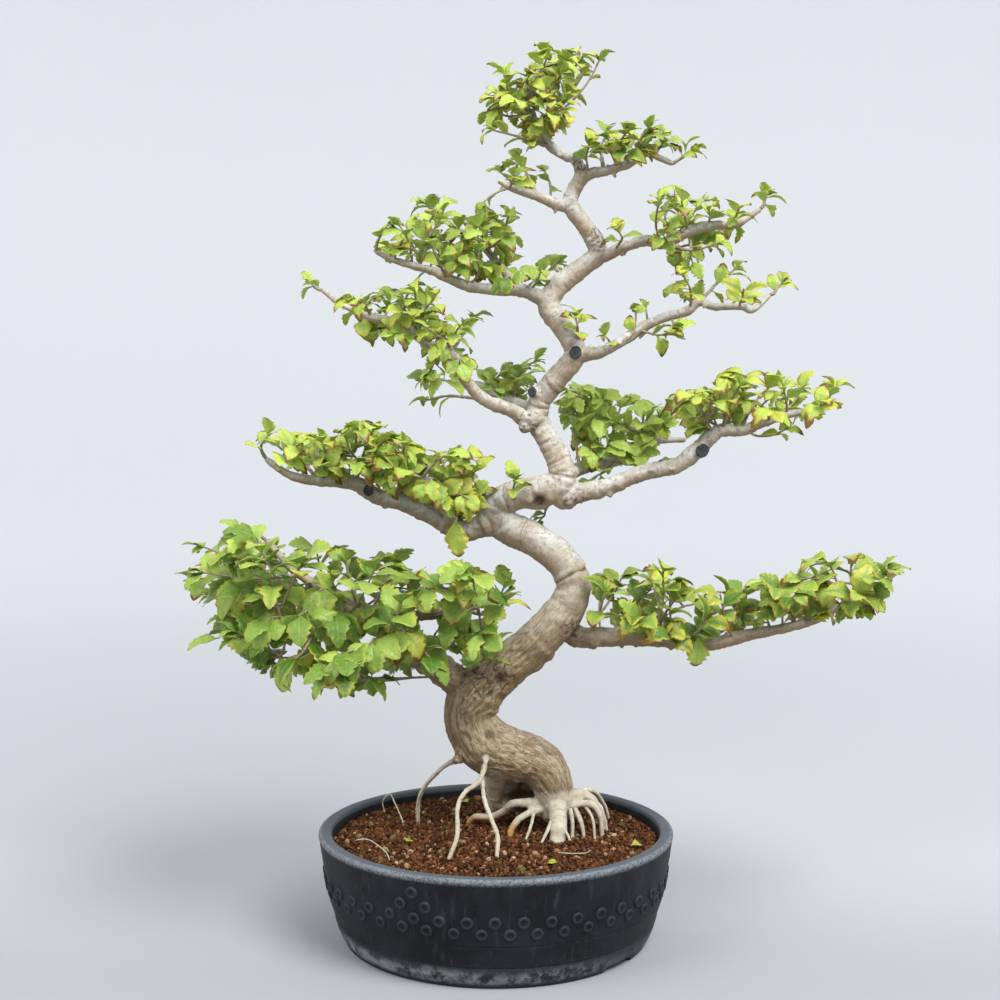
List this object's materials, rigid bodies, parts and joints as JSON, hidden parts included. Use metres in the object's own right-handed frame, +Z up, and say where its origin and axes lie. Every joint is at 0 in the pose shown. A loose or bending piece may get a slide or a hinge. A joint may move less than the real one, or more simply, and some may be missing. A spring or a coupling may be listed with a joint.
{
  "type": "rose of sharon bonsai in a round pot",
  "caption": "Bonsai tree with a twisting pale trunk, tiered limbs of lobed green leaves and aerial roots, standing in a low round dark glazed pot.",
  "frame": {"origin": "under the middle of the whole part's bounding box, on the plane that the pot's foot stands on", "axes": "+Z up along the tree's height; -Y towards the tree's front, its thinnest way; +X to the right seen from the front"},
  "size_m": [0.728, 0.355, 0.892],
  "materials": {
    "glazed_clay": "satin dark blue-grey glaze",
    "cinder_grit": "loose red-brown cinder grit",
    "bark": "pale cream-grey bark",
    "wound_paste": "dried black wound paste",
    "leaf": "fresh green leaves on thin twigs"
  },
  "bodies": {
    "root": {"paste_limb_left": "wound_paste", "paste_limb_right": "wound_paste", "paste_trunk_high": "wound_paste", "paste_trunk_low": "wound_paste", "pot": "glazed_clay", "shoot_a1": "leaf", "shoot_a11": "leaf", "shoot_a12": "leaf", "shoot_a2": "leaf", "shoot_a3": "leaf", "shoot_a4": "leaf", "shoot_a5": "leaf", "shoot_a6": "leaf", "shoot_a7": "leaf", "shoot_a8": "leaf", "shoot_a9": "leaf", "shoot_b1": "leaf", "shoot_b2": "leaf", "shoot_b3": "leaf", "shoot_b4": "leaf", "shoot_b6": "leaf", "shoot_b7": "leaf", "shoot_c1": "leaf", "shoot_c2": "leaf", "shoot_c4": "leaf", "shoot_c5": "leaf", "shoot_c6": "leaf", "shoot_c7": "leaf", "shoot_d1": "leaf", "shoot_d2": "leaf", "shoot_d3": "leaf", "shoot_d4": "leaf", "shoot_e1": "leaf", "shoot_e2": "leaf", "shoot_e3": "leaf", "shoot_f1": "leaf", "shoot_f3": "leaf", "shoot_f4": "leaf", "shoot_f5": "leaf", "shoot_g1": "leaf", "shoot_h1": "leaf", "shoot_h2": "leaf", "shoot_h3": "leaf", "shoot_h4": "leaf", "shoot_i1": "leaf", "shoot_i3": "leaf", "shoot_i4": "leaf", "shoot_j2": "leaf", "shoot_j3": "leaf", "shoot_j4": "leaf", "shoot_k1": "leaf", "shoot_l1": "leaf", "shoot_l2": "leaf", "shoot_l3": "leaf", "shoot_l4": "leaf", "shoot_m1": "leaf", "shoot_m2": "leaf", "shoot_m3": "leaf", "soil": "cinder_grit", "wood": "bark"}
  },
  "joints": []
}
